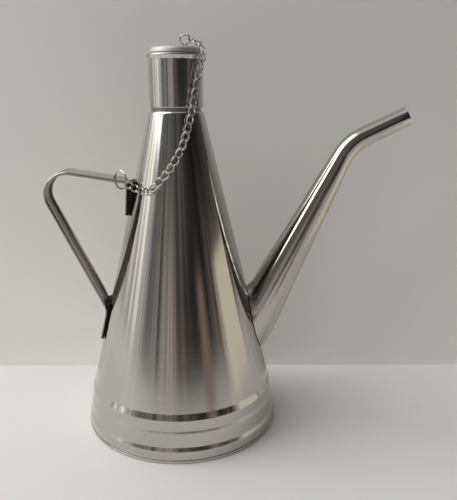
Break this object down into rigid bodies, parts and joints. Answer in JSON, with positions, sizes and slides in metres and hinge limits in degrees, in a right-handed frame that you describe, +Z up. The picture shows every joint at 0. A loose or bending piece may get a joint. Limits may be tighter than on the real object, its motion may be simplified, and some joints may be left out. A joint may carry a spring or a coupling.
{
  "type": "oil cruet",
  "caption": "Conical steel oil cruet with a bent spout, a strap handle and a push-on cap that lifts off the neck and is kept by a chain.",
  "frame": {"origin": "on the can's axis, in the plane that it stands on", "axes": "+Z up along the can's axis, +X along the spout, the handle lies along -X, the chain hangs on the -Y side"},
  "size_m": [0.2063, 0.115, 0.2231],
  "materials": {
    "can_steel": "satin polished, reflections drawn out along the piece",
    "spout_steel": "polished",
    "handle_steel": "satin, rolled strip",
    "cap_steel": "brushed round the cap",
    "wire": "bright nickel plated wire"
  },
  "bodies": {
    "can": {"body_shell": "can_steel", "base_pan": "can_steel", "neck_collar": "can_steel", "spout_tube": "spout_steel", "handle_strap": "handle_steel"},
    "cap": {"cap_sleeve": "cap_steel", "cap_lid": "cap_steel", "cap_eye": "wire"},
    "ring": {"handle_ring": "wire"},
    "link_01": {"chain_link_01": "wire"},
    "link_02": {"chain_link_02": "wire"},
    "link_03": {"chain_link_03": "wire"},
    "link_04": {"chain_link_04": "wire"},
    "link_05": {"chain_link_05": "wire"},
    "link_06": {"chain_link_06": "wire"},
    "link_07": {"chain_link_07": "wire"},
    "link_08": {"chain_link_08": "wire"},
    "link_09": {"chain_link_09": "wire"},
    "link_10": {"chain_link_10": "wire"},
    "link_11": {"chain_link_11": "wire"},
    "link_12": {"chain_link_12": "wire"},
    "link_13": {"chain_link_13": "wire"},
    "link_14": {"chain_link_14": "wire"},
    "link_15": {"chain_link_15": "wire"},
    "link_16": {"chain_link_16": "wire"},
    "link_17": {"chain_link_17": "wire"},
    "link_18": {"chain_link_18": "wire"},
    "link_19": {"chain_link_19": "wire"},
    "link_20": {"chain_link_20": "wire"},
    "link_21": {"chain_link_21": "wire"},
    "link_22": {"chain_link_22": "wire"},
    "link_23": {"chain_link_23": "wire"},
    "link_24": {"chain_link_24": "wire"}
  },
  "joints": [
    {"name": "cap_lift", "type": "slide", "parent": "can", "child": "cap", "axis": [0, 0, 1], "range_m": [0, 0.013]},
    {"name": "ring_swing", "type": "hinge", "parent": "can", "child": "ring", "pos_m": [-0.03488, -0.0039, 0.14746], "axis": [-0.7071, -0.7071, 0], "range_deg": [0, 15.7]},
    {"name": "link_01_swing", "type": "hinge", "parent": "ring", "child": "link_01", "pos_m": [-0.02839, -0.01033, 0.14594], "axis": [-0.3833, -0.7502, 0.5387], "range_deg": [0, 28.17]},
    {"name": "link_02_swing", "type": "hinge", "parent": "can", "child": "link_02", "pos_m": [-0.03395, -0.00515, 0.14713], "axis": [-0.6205, -0.7516, 0.2235], "range_deg": [0, 26.98]},
    {"name": "link_03_swing", "type": "hinge", "parent": "can", "child": "link_03", "pos_m": [-0.03692, -0.00244, 0.1473], "axis": [-0.6235, -0.7491, 0.2239], "range_deg": [0, 21.9]},
    {"name": "link_04_swing", "type": "hinge", "parent": "can", "child": "link_04", "pos_m": [-0.04367, 0.00222, 0.14784], "axis": [-0.613, -0.7578, 0.2235], "range_deg": [0, 16.68]},
    {"name": "link_05_swing", "type": "hinge", "parent": "can", "child": "link_05", "pos_m": [-0.05846, 0.01322, 0.14802], "axis": [-0.5949, -0.7721, 0.2235], "range_deg": [0, 11.33]},
    {"name": "link_06_swing", "type": "hinge", "parent": "can", "child": "link_06", "pos_m": [-0.09957, 0.05197, 0.14379], "axis": [-0.5808, -0.7825, 0.2245], "range_deg": [0, 5.95]},
    {"name": "link_07_swing", "type": "hinge", "parent": "cap", "child": "link_07", "pos_m": [0.04926, -0.01923, 0.19057], "axis": [0.8141, -0.4488, -0.3684], "range_deg": [0, 3.03]},
    {"name": "link_08_swing", "type": "hinge", "parent": "cap", "child": "link_08", "pos_m": [0.02006, -0.02058, 0.17165], "axis": [0.7002, -0.4924, -0.517], "range_deg": [0, 5.71]},
    {"name": "link_09_swing", "type": "hinge", "parent": "cap", "child": "link_09", "pos_m": [0.01472, -0.02061, 0.16901], "axis": [0.682, -0.4965, -0.537], "range_deg": [0, 7.13]},
    {"name": "link_10_swing", "type": "hinge", "parent": "cap", "child": "link_10", "pos_m": [0.01212, -0.01978, 0.16946], "axis": [0.6816, -0.4948, -0.5391], "range_deg": [0, 7.75]},
    {"name": "link_11_swing", "type": "hinge", "parent": "cap", "child": "link_11", "pos_m": [0.00864, -0.01795, 0.17132], "axis": [0.7032, -0.4828, -0.522], "range_deg": [0, 8.32]},
    {"name": "link_12_swing", "type": "hinge", "parent": "cap", "child": "link_12", "pos_m": [0.00432, -0.01555, 0.17407], "axis": [0.7389, -0.4526, -0.4992], "range_deg": [0, 8.69]},
    {"name": "link_13_swing", "type": "hinge", "parent": "cap", "child": "link_13", "pos_m": [-0.00041, -0.01252, 0.17746], "axis": [0.7357, -0.435, -0.5191], "range_deg": [0, 7.56]},
    {"name": "link_14_swing", "type": "hinge", "parent": "cap", "child": "link_14", "pos_m": [-0.00543, -0.00964, 0.18228], "axis": [0.5789, -0.3119, -0.7534], "range_deg": [0, 4.57]},
    {"name": "link_15_swing", "type": "hinge", "parent": "cap", "child": "link_15", "pos_m": [-0.00393, -0.00993, 0.19274], "axis": [-0.4411, 0.1801, -0.8792], "range_deg": [0, 3.08]},
    {"name": "link_16_swing", "type": "hinge", "parent": "cap", "child": "link_16", "pos_m": [0.00415, -0.01316, 0.19528], "axis": [-0.827, 0.335, -0.4515], "range_deg": [0, 4.5]},
    {"name": "link_17_swing", "type": "hinge", "parent": "cap", "child": "link_17", "pos_m": [0.00738, -0.01437, 0.19762], "axis": [-0.8457, 0.3216, -0.426], "range_deg": [0, 4.11]},
    {"name": "link_18_swing", "type": "hinge", "parent": "cap", "child": "link_18", "pos_m": [0.00879, -0.01573, 0.20008], "axis": [-0.7343, 0.3586, -0.5764], "range_deg": [0, 2.89]},
    {"name": "link_19_swing", "type": "hinge", "parent": "cap", "child": "link_19", "pos_m": [0.00922, -0.01867, 0.20152], "axis": [-0.8089, -0.4975, -0.3133], "range_deg": [0, 2.29]},
    {"name": "link_20_swing", "type": "hinge", "parent": "cap", "child": "link_20", "pos_m": [0.02271, -0.02198, 0.20195], "axis": [0.5998, -0.7646, -0.2359], "range_deg": [0, 4.93]},
    {"name": "link_21_swing", "type": "hinge", "parent": "cap", "child": "link_21", "pos_m": [0.01461, -0.0103, 0.22616], "axis": [-0.4849, 0.5588, -0.6728], "range_deg": [0, 1.55]},
    {"name": "link_22_swing", "type": "hinge", "parent": "cap", "child": "link_22", "pos_m": [0.01869, -0.01397, 0.22399], "axis": [-0.5693, 0.6264, -0.5324], "range_deg": [0, 2.35]},
    {"name": "link_23_swing", "type": "hinge", "parent": "cap", "child": "link_23", "pos_m": [0.00473, -0.00126, 0.22192], "axis": [-0.0475, 0.0656, -0.9967], "range_deg": [0, 0.38]},
    {"name": "link_24_swing", "type": "hinge", "parent": "cap", "child": "link_24", "pos_m": [0.00669, -0.00144, 0.21978], "axis": [-0.0186, 0.0152, -0.9997], "range_deg": [0, 0.44]}
  ],
  "couplings": [
    {"joint": "ring_swing", "follows": "cap_lift", "rad_per_m": 20.81},
    {"joint": "link_01_swing", "follows": "cap_lift", "rad_per_m": 37.554},
    {"joint": "link_02_swing", "follows": "cap_lift", "rad_per_m": 35.949},
    {"joint": "link_03_swing", "follows": "cap_lift", "rad_per_m": 29.134},
    {"joint": "link_04_swing", "follows": "cap_lift", "rad_per_m": 22.126},
    {"joint": "link_05_swing", "follows": "cap_lift", "rad_per_m": 14.943},
    {"joint": "link_06_swing", "follows": "cap_lift", "rad_per_m": 7.7166},
    {"joint": "link_07_swing", "follows": "cap_lift", "rad_per_m": 3.7939},
    {"joint": "link_08_swing", "follows": "cap_lift", "rad_per_m": 7.3909},
    {"joint": "link_09_swing", "follows": "cap_lift", "rad_per_m": 9.3047},
    {"joint": "link_10_swing", "follows": "cap_lift", "rad_per_m": 10.131},
    {"joint": "link_11_swing", "follows": "cap_lift", "rad_per_m": 10.898},
    {"joint": "link_12_swing", "follows": "cap_lift", "rad_per_m": 11.403},
    {"joint": "link_13_swing", "follows": "cap_lift", "rad_per_m": 9.8819},
    {"joint": "link_14_swing", "follows": "cap_lift", "rad_per_m": 5.8721},
    {"joint": "link_15_swing", "follows": "cap_lift", "rad_per_m": 3.8628},
    {"joint": "link_16_swing", "follows": "cap_lift", "rad_per_m": 5.7767},
    {"joint": "link_17_swing", "follows": "cap_lift", "rad_per_m": 5.251},
    {"joint": "link_18_swing", "follows": "cap_lift", "rad_per_m": 3.6175},
    {"joint": "link_19_swing", "follows": "cap_lift", "rad_per_m": 2.7999},
    {"joint": "link_20_swing", "follows": "cap_lift", "rad_per_m": 6.3528},
    {"joint": "link_21_swing", "follows": "cap_lift", "rad_per_m": 1.8187},
    {"joint": "link_22_swing", "follows": "cap_lift", "rad_per_m": 2.8876},
    {"joint": "link_23_swing", "follows": "cap_lift", "rad_per_m": 0.24006},
    {"joint": "link_24_swing", "follows": "cap_lift", "rad_per_m": 0.32272}
  ]
}
